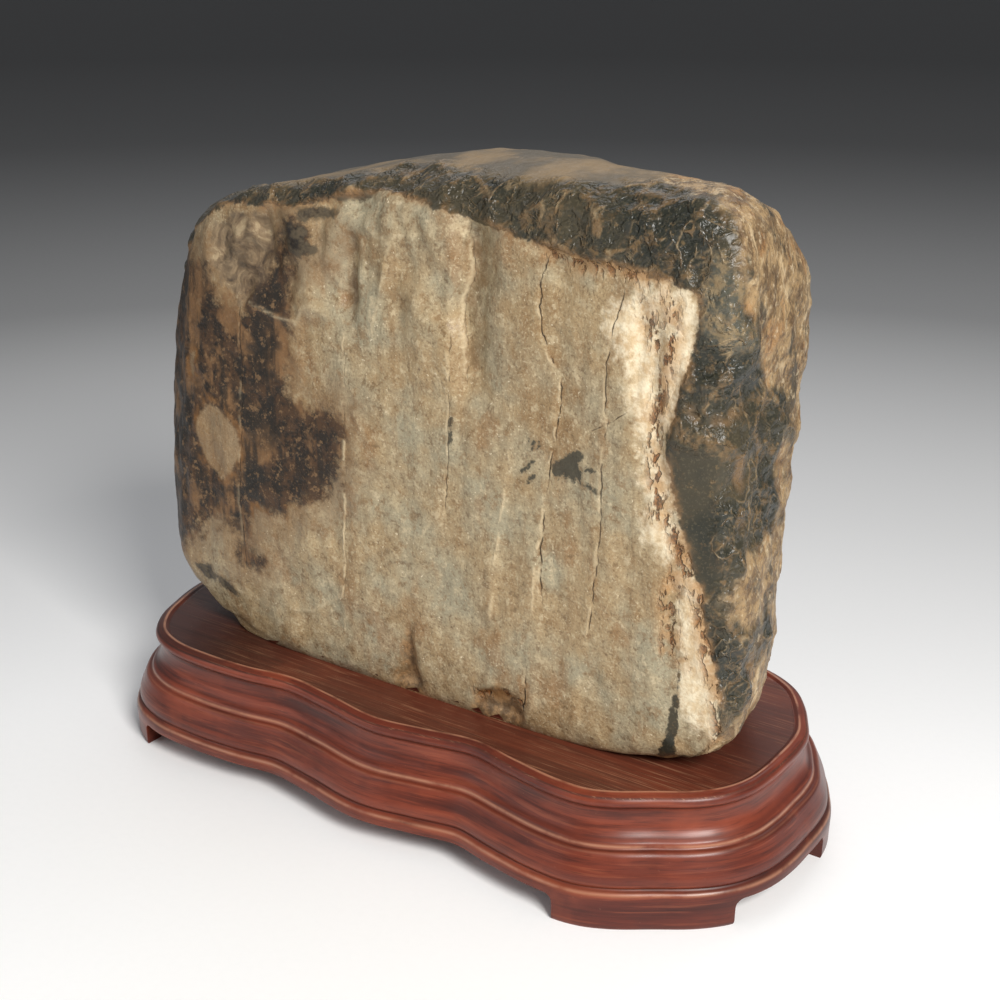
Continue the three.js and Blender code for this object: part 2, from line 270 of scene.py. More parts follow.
def carve_stone(mesh):
    """Push the surface in and out along its normals, and write the fields that the material reads."""
    P = read(mesh) / MM
    N = read(mesh, True)
    f = stone_fields(P)
    U = unrolled(P)
    u, v = U.T
    front = f["front"]
    pale = step(-2.0, 2.0, f["face"])
    dark = 1 - pale
    d = 0.9 * fractal(P, 60, 3, 1)
    # pale face: long upright folds, hummocks at the upper left, one deep flute and a brown one beside it
    folds = fractal(np.column_stack([u, v * 0.16, 0 * u]), 12, 3, 2)
    d += pale * 0.75 * folds
    upper = step(168, 190, v) * (1 - step(24, 30, u))
    hummocks = step(-95, -50, u) * upper
    d += pale * hummocks * 3.0 * fractal(np.column_stack([u, v * 0.7, 0 * u]), 18, 3, 3)
    nose = np.exp(-((u + 26 - 0.15 * (v - 210)) / 4.0) ** 2 - ((v - 212) / 9) ** 2)
    d += 2.2 * front * nose
    d += pale * 0.45 * fractal(P, 14, 3, 12)
    off = f["cr_g"]
    flute = np.where(off > 0, np.exp(-(off / 9.0) ** 2), np.exp(-(off / 2.6) ** 2))
    d -= pale * 5.2 * flute * step(146, 186, v) * (1 - step(218, 229, v))
    d += pale * 2.2 * np.exp(-((off + 15) / 9) ** 2) * step(160, 190, v)
    groove = np.exp(-((u + 23.5 - 0.05 * (v - 200)) / 3.6) ** 2) * step(178, 190, v) * (1 - step(208, 218, v))
    d -= 3.8 * groove * front
    # two soft upright flutes in the creamy band, worn hollows in the face
    for at, wide in ((98.5, 3.0), (93.0, 2.4)):
        d -= 1.5 * pale * np.exp(-((u - at - 0.06 * (v - 190)) / wide) ** 2) * step(160, 176, v) * step(208, 200, v)
    d -= pale * 0.9 * step(0.1, 0.7, fractal(np.column_stack([u, v * 0.6, 0 * u]), 24, 3, 51))
    d -= 2.0 * step(-3, 4, f["pocket"]) * (1 + 0.9 * fractal(P, 6, 2, 4))
    d -= 2.6 * step(-1.2, 3.0, f["notch"])
    for name, depth, lip in CRACK_RELIEF:
        x, k = f[name], f[name + "_k"]
        d -= k * depth * np.exp(-(x / 0.9) ** 2)
        d += k * lip * step(0.5, -0.5, x) * np.exp(-(np.minimum(x, 0) / 6.0) ** 2)
    for name in ("fo_1", "fo_2"):
        x, k = f[name], f[name + "_k"]
        d += k * 0.8 * step(-0.9, 0.9, -x) * np.exp(-(x / 7.0) ** 2)
    d += 0.8 * front * np.exp(-(f["ridge"] / 1.2) ** 2)
    pits = fractal(P, 3.4, 2, 5)
    d -= 1.2 * np.exp(-(f["rust"] / 3.2) ** 2) * step(0.05, 0.5, pits) * pale
    d += 0.16 * pale * fractal(P, 5, 3, 6)
    # dark stone: bowls left by flakes, meeting in ridges
    smooth_patch = step(-2, 3, f["smooth"])
    satin = step(0, 6, f["dome"])
    crust_n = 7 * fractal(P, 15, 3, 9)
    rough = step(-1, 4, f["crust"] + crust_n) * dark
    flaked = dark * (1 - 0.95 * smooth_patch) * (1 - 0.85 * satin) * (1 - 0.6 * rough)
    bend = 3.0 * np.column_stack([fractal(P, 16, 2, k) for k in (31, 32, 33)])
    big1, big2 = cells(P + bend, 15, 1, (1, 1, 0.8))
    small1, small2 = cells(P + bend, 7, 2)
    d += flaked * (1.3 * ((big1 / 8.5) ** 2 - 0.5) + 0.45 * ((small1 / 4) ** 2 - 0.5))
    bowls = step(0.0, 3.5, f["bowl"]) * dark
    d -= 1.3 * bowls
    d += 0.35 * dark * np.exp(-((f["bowl"] + 0.2) / 0.9) ** 2) * step(-0.2, 0.4, fractal(P, 12, 2, 43))
    fibre = fractal(P @ np.array([[1, 0, 0], [0, 1, 0], [0.4, 0.3, 0.5]]), 11, 4, 10)
    d += rough * (0.75 * fibre + 0.7 * np.abs(fractal(P + bend, 7, 3, 44)))
    below_step = step(3.0, -0.5, v - np.interp(u, *zip(*STEP_LINE)))
    d += dark * front * 1.1 * below_step * np.exp(-((v - 158) / 9) ** 2) * step(102, 110, u)
    d += (1 - front) * 1.2 * fractal(P, 26, 3, 11)
    # skyline: the dip before the right corner
    d -= 4.6 * np.exp(-((P[:, 0] - 70) / 17) ** 2 - ((P[:, 1] - 34) / 26) ** 2) * step(196, 222, P[:, 2])
    # the lower left corner lifts clear of the stand
    lift = step(-58, -92, P[:, 0]) * step(72, 52, P[:, 2]) * step(0, -24, P[:, 1])
    d -= 3.4 * lift
    f["flake"] = np.minimum(big2 - big1, 2.2 * (small2 - small1) + 0.6)
    f["flaked"] = flaked
    f["groove"] = groove * front
    f["rough"] = rough
    # the underside keeps the shape of its seat
    keep = np.maximum(step(43.5, 49, P[:, 2]), step(-60, -80, P[:, 0]) * step(43.2, 45.5, P[:, 2]))
    d = np.clip(d, -6.5, 2.6) * keep + 0.45 * step(41, 42.5, P[:, 2]) * step(50, 44, P[:, 2])
    Q = (P + N * d[:, None]) * MM
    mesh.vertices.foreach_set("co", Q.ravel())
    for name in ("face", "stain", "window", "band", "pocket", "mark", "wedge", "blob", "notch", "rust", "ridge", "scar",
                 "dome", "flake", "flaked", "rough", "groove", "front", "bowl", "grey"):
        write_attribute(mesh, name, f[name])
    # the shader reads the cracks in two sets, in each of which no two run close together
    for group, members in CRACK_SETS.items():
        names, darks, lips = zip(*members)
        offsets = np.array([f[name] for name in names])
        near = np.array([step(6, 3, np.abs(f[name])) * f[name + "_k"] for name in names])
        pick = np.argmax(near - 0.001 * np.abs(offsets), axis=0)
        row = np.arange(len(P))
        k = near[pick, row]
        write_attribute(mesh, group, offsets[pick, row])
        write_attribute(mesh, group + "_dark", k * np.array(darks)[pick])
        write_attribute(mesh, group + "_lip", k * np.array(lips)[pick])
    # brown wash and painted shade in the flute's gutter, just right of its crease
    write_attribute(mesh, "flute_wash_and_shade", np.exp(-((f["cr_g"] - 2.0) / 3.5) ** 2) * f["cr_g_k"])
    mesh.update()


# ------------------------------------------------------------------ node graph helper
class Graph:
    def __init__(self, name):
        self.mat = bpy.data.materials.new(name)
        self.mat.use_nodes = True
        self.t = self.mat.node_tree
        self.t.nodes.clear()
        self.coord = self.node("ShaderNodeTexCoord").outputs["Object"]
        out = self.node("ShaderNodeOutputMaterial")
        self.bsdf = self.node("ShaderNodeBsdfPrincipled")
        self.t.links.new(self.bsdf.outputs[0], out.inputs[0])

    def node(self, kind, **props):
        n = self.t.nodes.new(kind)
        for k, v in props.items():
            setattr(n, k, v)
        return n

    def put(self, socket, value):
        if isinstance(value, bpy.types.NodeSocket):
            self.t.links.new(value, socket)
        elif value is not None:
            socket.default_value = value

    def math(self, op, a, b=None, c=None):
        n = self.node("ShaderNodeMath", operation=op)
        for s, v in zip(n.inputs, (a, b, c)):
            self.put(s, v)
        return n.outputs[0]

    def add(self, a, b): return self.math("ADD", a, b)
    def sub(self, a, b): return self.math("SUBTRACT", a, b)
    def mul(self, a, b): return self.math("MULTIPLY", a, b)
    def madd(self, a, b, c): return self.math("MULTIPLY_ADD", a, b, c)

    def step(self, a, b, x):
        n = self.node("ShaderNodeMapRange", interpolation_type="SMOOTHSTEP")
        for s, v in zip(n.inputs, (x, a, b, 0.0, 1.0)):
            self.put(s, v)
        return n.outputs[0]

    def bell(self, x, width):
        q = self.mul(x, 1 / width)
        return self.math("POWER", 2.71828, self.mul(self.mul(q, q), -1.0))

    def mix(self, k, a, b, blend="MIX"):
        n = self.node("ShaderNodeMix", data_type="RGBA", blend_type=blend)
        self.put(n.inputs[0], k)
        self.put(n.inputs[6], a)
        self.put(n.inputs[7], b)
        return n.outputs[2]

    def layers(self, base, rows):
        """Colours laid over base one after another: (from, to, field, strength, colour)."""
        for a, b, field, strength, colour in rows:
            base = self.mix(self.mul(self.step(a, b, field), strength), base, srgb(*colour))
        return base

    def highest(self, first, *rest):
        for x in rest:
            first = self.math("MAXIMUM", first, x)
        return first

    def attr(self, name):
        return self.node("ShaderNodeAttribute", attribute_name=name).outputs["Fac"]

    def scaled(self, x, y, z, offset=(0, 0, 0)):
        n = self.node("ShaderNodeMapping")
        self.put(n.inputs["Vector"], self.coord)
        n.inputs["Scale"].default_value = (x, y, z)
        n.inputs["Location"].default_value = offset
        return n.outputs[0]

    def noise(self, size, detail=4, rough=0.55, stretch=(1, 1, 1), shift=0.0, distort=0.0):
        """Noise with features about size mm across, 0..1 round 0.5."""
        n = self.node("ShaderNodeTexNoise")
        self.put(n.inputs["Vector"], self.scaled(*stretch, offset=(shift, shift * 0.7, shift * 1.3)))
        n.inputs["Scale"].default_value = 1000.0 / size
        n.inputs["Detail"].default_value = detail
        n.inputs["Roughness"].default_value = rough
        n.inputs["Distortion"].default_value = distort
        return n.outputs["Fac"]

    def voronoi(self, size, feature="F1", stretch=(1, 1, 1), shift=0.0, warp=None):
        n = self.node("ShaderNodeTexVoronoi", feature=feature)
        vec = self.scaled(*stretch, offset=(shift, shift, shift))
        if warp is not None:
            mixv = self.node("ShaderNodeVectorMath", operation="ADD")
            w = self.node("ShaderNodeCombineXYZ")
            for i in range(3):
                self.put(w.inputs[i], warp)
            self.put(mixv.inputs[0], vec)
            self.put(mixv.inputs[1], w.outputs[0])
            vec = mixv.outputs[0]
        self.put(n.inputs["Vector"], vec)
        n.inputs["Scale"].default_value = 1000.0 / size
        return n.outputs["Distance"]

    def split(self, vector):
        n = self.node("ShaderNodeSeparateXYZ")
        self.put(n.inputs[0], vector)
        return n.outputs

    def finish(self, colour, roughness, height):
        self.put(self.bsdf.inputs["Base Color"], colour)
        self.put(self.bsdf.inputs["Roughness"], roughness)
        b = self.node("ShaderNodeBump")
        b.inputs["Strength"].default_value = 1.0
        b.inputs["Distance"].default_value = MM
        self.put(b.inputs["Height"], height)
        self.put(self.bsdf.inputs["Normal"], b.outputs[0])
        return self.mat


# ------------------------------------------------------------------ stone material
def stone_material():
    g = Graph("stone_surface")
    c = lambda x: g.sub(x, 0.5)
    big = g.noise(70, 3)
    cloud = g.noise(26, 3, 0.6, shift=3.1)
    mid = g.noise(11, 3, 0.64, shift=7.7)
    fine = g.noise(3.2, 3, 0.66, shift=1.9)
    grain = g.noise(0.9, 2, 0.6, shift=5.3)
    speck = g.noise(1.7, 2, 0.7, shift=11.3)
    streak = g.noise(6, 3, 0.62, stretch=(1, 1, 0.14), shift=9.2)
    mottle = g.noise(7, 4, 0.72, shift=17.2)

    # pale face
    col = g.mix(g.step(0.38, 0.64, cloud), srgb(164, 140, 104), srgb(160, 150, 124))
    col = g.layers(col, [(0.47, 0.66, big, 0.6, (146, 118, 82)), (0.52, 0.66, mottle, 0.62, (132, 102, 66))])
    warm = g.noise(15, 3, 0.6, stretch=(1, 1, 0.6), shift=33.0)
    col = g.mix(g.mul(g.step(0.55, 0.68, warm), 0.5), col, srgb(142, 104, 64))
    col = g.layers(col, [(0.48, 0.32, mottle, 0.6, (188, 170, 136)), (0.54, 0.72, streak, 0.5, (132, 104, 70)),
                         (0.56, 0.68, fine, 0.55, (202, 184, 150)), (0.45, 0.30, fine, 0.65, (112, 88, 58)),
                         (0.57, 0.66, grain, 0.35, (206, 190, 158)), (0.42, 0.34, grain, 0.40, (96, 76, 52)),
                         (0.69, 0.73, speck, 0.7, (232, 216, 184))])
    h = g.madd(c(fine), 0.40, g.madd(c(grain), 0.16, g.madd(c(streak), 0.35, g.mul(c(mottle), 0.35))))

    # brown washed into the flute's gutter, darkened there also as painted shade, and brown in the groove
    flute_wash_and_shade = g.mul(g.attr("flute_wash_and_shade"), g.step(0.44, 0.6, mottle))
    col = g.mix(g.mul(flute_wash_and_shade, 0.6), col, srgb(118, 96, 66))
    tint = g.mul(g.attr("groove"), g.step(0.36, 0.56, mid))
    col = g.mix(g.mul(tint, 0.65), col, srgb(104, 72, 38))

    # creamy band along the right edge
    band = g.step(-4.0, 3.5, g.madd(c(mid), 16.0, g.madd(c(fine), 8.0, g.attr("band"))))
    cream = g.mix(g.step(0.35, 0.65, fine), srgb(214, 190, 152), srgb(238, 224, 194))
    cream = g.mix(g.mul(g.step(0.54, 0.70, mottle), 0.5), cream, srgb(184, 146, 98))
    col = g.mix(g.mul(band, 0.85), col, cream)

    # the stained left part, with its halo and pale windows
    stain_d = g.madd(c(fine), 12.0, g.madd(c(grain), 6.0, g.attr("stain")))
    stain_d = g.madd(c(cloud), 10.0, g.madd(c(mottle), 22.0, stain_d))
    halo = g.step(-18.0, 2.0, g.madd(c(cloud), 26.0, stain_d))
    col = g.mix(g.mul(halo, 0.6), col, srgb(124, 92, 58))
    stain = g.step(-3.5, 3.5, stain_d)
    patch = g.noise(20, 4, 0.65, stretch=(1, 1, 0.8), shift=37.0)
    stain_c = g.mix(g.step(0.42, 0.58, mottle), srgb(30, 22, 15), srgb(72, 50, 31))
    stain_c = g.layers(stain_c, [(0.50, 0.60, patch, 0.85, (128, 94, 60)), (0.50, 0.66, cloud, 0.85, (28, 24, 19)),
                                 (0.52, 0.66, streak, 0.75, (26, 23, 19)), (0.55, 0.66, fine, 0.65, (132, 102, 70)),
                                 (0.62, 0.70, grain, 0.3, (150, 122, 88))])
    window_d = g.madd(c(mid), 5.0, g.madd(c(fine), 3.0, g.attr("window")))
    rim = g.mul(g.bell(g.add(window_d, 1.0), 1.8), g.step(0.35, 0.6, mid))
    stain_c = g.mix(g.mul(rim, 0.7), stain_c, srgb(140, 96, 48))
    stain = g.mul(stain, g.sub(1.0, g.step(-0.6, 1.4, window_d)))
    col = g.mix(g.mul(stain, 0.98), col, stain_c)

    # mottled pocket, dark blobs, brown notch
    pocket = g.step(-2.5, 2.0, g.madd(c(mid), 12.0, g.madd(c(fine), 8.0, g.attr("pocket"))))
    swirl = g.noise(9, 3, 0.65, shift=27.0, distort=1.4)
    pocket_c = g.mix(g.step(0.40, 0.60, swirl), srgb(84, 68, 52), srgb(132, 112, 86))
    pocket_c = g.layers(pocket_c, [(0.58, 0.68, swirl, 0.8, (170, 150, 118)), (0.42, 0.34, swirl, 0.8, (48, 40, 34))])
    col = g.mix(g.mul(pocket, 0.85), col, pocket_c)
    blob = g.step(-1.8, 0.4, g.madd(c(fine), 7.0, g.madd(c(mid), 4.0, g.attr("blob"))))
    col = g.mix(g.mul(blob, 0.92), col, g.mix(g.step(0.4, 0.6, fine), srgb(32, 27, 22), srgb(80, 70, 54)))
    notch = g.step(-2.5, 2.0, g.madd(c(fine), 7.0, g.madd(c(mid), 7.0, g.attr("notch"))))
    col = g.mix(g.mul(notch, 0.75), col, g.mix(g.step(0.4, 0.62, fine), srgb(88, 60, 36), srgb(150, 112, 72)))

    # rust in the pits and along the broken edge
    rust_near = g.bell(g.attr("rust"), 4.2)
    pit = g.noise(3.0, 2, 0.6, stretch=(1.2, 1, 0.6), shift=12.4)
    rust = g.mul(g.bell(g.attr("rust"), 3.2), g.step(0.50, 0.60, pit))
    col = g.mix(g.mul(g.mul(rust_near, g.step(0.40, 0.56, mid)), 0.6), col, srgb(176, 128, 76))
    col = g.mix(g.mul(rust, 0.9), col, g.mix(g.step(0.4, 0.6, grain), srgb(76, 46, 24), srgb(136, 86, 42)))
    h = g.sub(h, g.mul(rust, 0.9))

    # dark mark and its dashes
    mark = g.step(-0.5, 0.5, g.madd(c(fine), 3.4, g.madd(c(grain), 2.4, g.attr("mark"))))
    col = g.mix(g.mul(mark, 0.92), col, g.mix(fine, srgb(34, 34, 28), srgb(72, 68, 54)))

    # cracks: dark line, pale broken lip
    wobble = g.mul(c(g.noise(6, 2, 0.6, shift=15.0)), 2.6)
    broken = g.noise(6, 2, 0.65, stretch=(1, 1, 0.6), shift=21.0)
    for name in ("crack_1", "crack_2"):
        x = g.add(g.attr(name), wobble)
        dark, lip = g.attr(name + "_dark"), g.attr(name + "_lip")
        line = g.mul(g.mul(g.bell(x, 0.19), dark), g.step(0.38, 0.52, broken))
        pale_lip = g.mul(g.mul(g.bell(g.add(x, 0.8), 0.6), lip), g.step(0.47, 0.57, mid))
        brown = g.mul(g.mul(g.bell(x, 1.8), dark), g.step(0.46, 0.60, mottle))
        col = g.mix(g.mul(brown, 0.45), col, srgb(124, 90, 52))
        col = g.mix(pale_lip, col, srgb(208, 188, 152))
        col = g.mix(line, col, srgb(54, 38, 24))
        h = g.madd(line, -0.5, g.madd(pale_lip, 0.3, h))
    # pale line along the raised ridges: their pale colour plus a painted highlight on the rims
    ridge = g.mul(g.mul(g.bell(g.attr("ridge"), 0.7), g.attr("front")), g.step(0.36, 0.52, mid))
    col = g.mix(g.mul(ridge, 0.5), col, srgb(202, 184, 150))

    # dark stone
    dark_c = g.mix(g.step(0.38, 0.62, cloud), srgb(40, 41, 33), srgb(64, 58, 43))
    dark_c = g.layers(dark_c, [(0.54, 0.70, mottle, 0.55, (92, 73, 48)), (0.60, 0.72, fine, 0.5, (128, 104, 70)),
                               (0.55, 0.65, grain, 0.3, (108, 98, 76))])
    grey = g.step(-3.0, 3.0, g.madd(c(mid), 14.0, g.attr("grey")))
    dark_c = g.mix(g.mul(grey, 0.7), dark_c, g.mix(g.step(0.42, 0.6, fine), srgb(92, 90, 78), srgb(150, 130, 98)))
    # pale lines at the flake edges, bowl rims and scars: tan colour plus a painted highlight on the edges
    flake_edge = g.step(0.85, 0.05, g.madd(c(fine), 1.6, g.attr("flake")))
    flake_edge = g.mul(g.mul(flake_edge, g.attr("flaked")), g.step(0.44, 0.56, mid))
    ripple_at = g.mul(c(g.noise(7, 3, 0.6, shift=6.0)), 0.012)
    chips = g.voronoi(5.0, "DISTANCE_TO_EDGE", stretch=(1, 0.8, 1.25), shift=8.0, warp=ripple_at)
    chip_edge = g.mul(g.mul(g.step(0.10, 0.0, chips), g.attr("flaked")), g.step(0.50, 0.64, streak))
    rim_line = g.mul(g.bell(g.madd(c(fine), 1.6, g.attr("bowl")), 0.30), g.step(0.46, 0.58, mid))
    arc = g.mul(g.bell(g.madd(c(mid), 5.0, g.attr("scar")), 0.4), g.step(0.5, 0.6, mottle))
    scar_line = g.highest(flake_edge, g.mul(chip_edge, 0.5), g.mul(rim_line, 0.7), g.mul(arc, 0.7))
    scar_c = g.mix(g.step(0.42, 0.6, fine), srgb(132, 104, 70), srgb(184, 158, 120))
    dark_c = g.mix(g.mul(scar_line, 0.62), dark_c, scar_c)
    chip_fill = g.mul(g.mul(g.step(0.30, 0.0, chips), g.attr("flaked")), g.mul(g.step(0.48, 0.64, mottle), 0.2))
    dark_c = g.mix(chip_fill, dark_c, srgb(112, 90, 62))
    glow = g.mul(g.mul(g.step(3.0, 0.6, g.attr("flake")), g.attr("flaked")), g.step(0.50, 0.64, mottle))
    dark_c = g.mix(g.mul(glow, 0.5), dark_c, srgb(122, 96, 64))
    tan_bowl = g.mul(g.step(0.3, 3.0, g.attr("bowl")), g.step(0.50, 0.62, cloud))
    dark_c = g.mix(g.mul(tan_bowl, 0.6), dark_c, srgb(132, 102, 70))
    top = g.step(-2.0, 3.0, g.madd(c(mid), 7.0, g.attr("dome")))
    top_c = g.mix(g.step(0.40, 0.62, cloud), srgb(92, 80, 60), srgb(138, 114, 80))
    top_c = g.mix(g.mul(g.step(0.55, 0.7, mottle), 0.6), top_c, srgb(156, 130, 96))
    dark_c = g.mix(g.mul(top, 0.85), dark_c, top_c)

    # ochre crust: tan plates with brown veins and dark hollows
    fibre = g.noise(9, 4, 0.72, stretch=(1, 1, 0.6), shift=23.0, distort=0.8)
    crust = g.attr("rough")
    vein = g.voronoi(11.0, "DISTANCE_TO_EDGE", stretch=(1, 1, 0.7), shift=14.0, warp=ripple_at)
    plates = g.noise(19, 4, 0.68, shift=47.0)
    crust_c = g.mix(g.step(0.40, 0.58, mottle), srgb(116, 92, 64), srgb(164, 136, 98))
    crust_c = g.layers(crust_c, [(0.52, 0.66, fibre, 0.7, (204, 180, 142)), (0.46, 0.36, plates, 0.85, (66, 60, 48)),
                                 (0.54, 0.64, plates, 0.45, (170, 122, 74))])
    crust_c = g.mix(g.mul(g.mul(g.step(0.10, 0.02, vein), g.step(0.46, 0.60, mid)), 0.5), crust_c, srgb(80, 52, 30))
    crust_c = g.layers(crust_c, [(0.57, 0.66, fine, 0.5, (214, 194, 160)), (0.44, 0.34, fine, 0.5, (58, 44, 30))])
    dark_c = g.mix(g.mul(crust, 0.92), dark_c, crust_c)

    # where pale meets dark
    face_d = g.madd(c(mid), 5.0, g.madd(c(fine), 4.0, g.attr("face")))
    face = g.step(-0.5, 0.6, face_d)
    face = g.mul(face, g.sub(1.0, g.step(-0.5, 0.5, g.madd(c(fine), 5.0, g.madd(c(mid), 4.0, g.attr("wedge"))))))
    edge = g.mul(g.bell(face_d, 1.4), g.step(0.38, 0.6, mid))
    col = g.mix(face, dark_c, col)
    col = g.mix(g.mul(edge, 0.55), col, srgb(150, 112, 72))

    # roughness and height
    dull = g.madd(c(fine), 0.3, g.madd(c(mid), 0.25, 0.46))
    gloss = g.madd(c(fine), 0.35, g.madd(c(cloud), 0.2, 0.36))
    roughness = g.add(g.mul(face, dull), g.mul(g.sub(1.0, face), g.madd(crust, 0.12, g.madd(top, 0.14, gloss))))
    g.bsdf.inputs["Specular IOR Level"].default_value = 0.4
    chip_h = g.mul(g.step(0.35, 0.0, chips), g.attr("flaked"))
    dark_h = g.madd(chip_h, 0.4, g.madd(c(fine), 0.16, g.mul(scar_line, 0.3)))
    crust_h = g.madd(c(fibre), 1.3, g.madd(c(plates), 0.8, g.mul(g.step(0.0, 0.14, vein), 0.25)))
    dark_h = g.add(g.madd(c(grain), 0.08, dark_h), g.mul(crust, crust_h))
    height = g.add(g.mul(face, h), g.mul(g.sub(1.0, face), dark_h))
    return g.finish(col, roughness, height)


# ------------------------------------------------------------------ stand
OUTLINE = [
    (-132.5, 0), (-131.2, -12), (-127.6, -24), (-122, -37.5), (-112.5, -48.8), (-100, -54.4), (-82, -56), (-62, -55),
    (-42, -52), (-22, -54.3), (3, -58), (22, -54.8), (42, -51), (60, -54), (78, -56.6), (90, -56), (98, -52.7),
    (109, -45.2), (120, -37.4), (126.5, -30.2), (130.7, -21), (132.3, -10), (132.5, 0), (132.3, 10), (130.8, 19.5),
    (126.2, 29.5), (121, 38.5), (114, 47), (102, 54), (90, 56.4), (78, 56.6), (60, 54), (42, 51), (22, 54.8), (3, 58),
    (-22, 54.3), (-42, 52), (-62, 55), (-82, 56), (-100, 54.4), (-112.5, 48.8), (-122, 37.5), (-127.6, 24),
    (-131.2, 12)]
# Moulding, each smooth run from one sharp line to the next: (outside the bead line, height), in mm.
RUNS = [
    [(-1.9, 43.4), (-1.35, 43.6), (-0.75, 44.1), (-0.15, 44.48), (0.45, 44.46), (1.1, 44.15), (2.1, 43.75), (3.1, 43.0),
     (3.65, 41.9), (3.6, 40.9), (3.1, 40.1), (2.4, 39.6)],
    [(2.4, 39.6), (1.95, 38.4), (1.75, 36.8), (1.85, 35.0), (2.3, 33.1), (3.1, 31.3), (4.3, 29.7), (5.2, 28.9),
     (5.8, 28.3), (6.15, 27.5), (6.35, 26.8), (6.8, 26.35)],
    [(6.8, 26.35), (7.7, 26.1), (8.6, 25.3), (9.3, 23.8), (10.2, 21.7), (11.2, 19.4), (11.8, 17.3), (11.8, 15.7),
     (11.4, 14.6)],
    [(11.4, 14.6), (11.9, 14.1), (12.6, 13.7), (13.2, 12.9), (13.5, 11.6), (13.5, 9.0), (13.4, 4.0), (13.3, 0.9),
     (12.9, 0.0)],
]
AROUND = 560                              # points round the outline
GAP_LONG, GAP_END = (-110, 86), (-38, 14)  # between the feet, along the sides and across the ends
EDGE_Z, BRACKET = 9.7, 3.0                # lower edge of the apron, radius where a foot meets it
WALL_INSET, HOLLOW_TOP = 2.5, 19          # the hollow underneath
CUT_BELOW, CUT_REACH = -5, 200            # how far the cutters run past the stand
SEAT_GAP = 0.3                            # the seat is the stone's own shape, this much larger
WANDER = 0.16                             # unevenness of the hand-carved sides


def catmull(pts, closed, samples):
    """Centripetal Catmull-Rom through pts, samples per span."""
    P = [np.array(p, float) for p in pts]
    n = len(P)
    spans = n if closed else n - 1
    out = []

    def around(j):
        if closed or 0 <= j < n:
            return P[j % n]
        return 2 * P[0] - P[1] if j < 0 else 2 * P[-1] - P[-2]

    for i in range(spans):
        p0, p1, p2, p3 = (around(j) for j in (i - 1, i, i + 1, i + 2))
        d1, d2, d3 = (max(np.linalg.norm(b - a), 1e-6) ** 0.5 for a, b in ((p0, p1), (p1, p2), (p2, p3)))
        m1 = (p1 - p0) / d1 - (p2 - p0) / (d1 + d2) + (p2 - p1) / d2
        m2 = (p2 - p1) / d2 - (p3 - p1) / (d2 + d3) + (p3 - p2) / d3
        m1, m2 = m1 * d2, m2 * d2
        for s in range(samples):
            t = s / samples
            out.append((2 * t**3 - 3 * t**2 + 1) * p1 + (t**3 - 2 * t**2 + t) * m1
                       + (-2 * t**3 + 3 * t**2) * p2 + (t**3 - t**2) * m2)
    if not closed:
        out.append(P[-1])
    return np.array(out)


def plan():
    """Evenly spaced points round the top bead line, and the outward direction at each."""
    dense = catmull(OUTLINE, True, 30)
    loop = np.vstack([dense, dense[:1]])
    s = np.r_[0, np.cumsum(np.linalg.norm(np.diff(loop, axis=0), axis=1))]
    even = np.linspace(0, s[-1], AROUND, endpoint=False)
    line = np.column_stack([np.interp(even, s, loop[:, i]) for i in (0, 1)])
    tangent = np.roll(line, -1, 0) - np.roll(line, 1, 0)
    tangent /= np.linalg.norm(tangent, axis=1)[:, None]
    return line, np.column_stack([tangent[:, 1], -tangent[:, 0]])


def ring_mesh(name, rings):
    """Closed body through rings listed top to bottom."""
    n = len(rings[0])
    verts = np.vstack(rings) * MM
    faces = []
    for r in range(len(rings) - 1):
        a = r * n
        faces += [(a + i, a + n + i, a + n + (i + 1) % n, a + (i + 1) % n) for i in range(n)]
    faces.append(tuple(range(n)))
    faces.append(tuple(range(len(verts) - 1, len(verts) - n - 1, -1)))
    mesh = bpy.data.meshes.new(name)
    mesh.from_pydata(verts.tolist(), [], faces)
    mesh.update()
    return mesh


def bar_mesh(name, span, along_x):
    """Cutter for the gap between two feet, its upper corners rounded like brackets."""
    lo, hi = span
    arc = [(math.cos(a), math.sin(a)) for a in np.linspace(0, math.pi / 2, 7)]
    r = BRACKET
    section = [(lo, CUT_BELOW), (hi, CUT_BELOW)]
    section += [(hi - r + r * c, EDGE_Z - r + r * s) for c, s in arc]
    section += [(lo + r - r * s, EDGE_Z - r + r * c) for c, s in arc]
    ends = []
    for far in (-CUT_REACH, CUT_REACH):
        ends.append(np.array([(far, w, z) if along_x else (w, far, z) for w, z in section]))
    n = len(section)
    faces = [(i, (i + 1) % n, n + (i + 1) % n, n + i) for i in range(n)]
    faces += [tuple(range(n))[::-1], tuple(range(n, 2 * n))]
    if not along_x:
        faces = [f[::-1] for f in faces]
    mesh = bpy.data.meshes.new(name)
    mesh.from_pydata((np.vstack(ends) * MM).tolist(), [], faces)
    mesh.update()
    return mesh


def linked(name, mesh):
    o = bpy.data.objects.new(name, mesh)
    bpy.context.scene.collection.objects.link(o)
    return o


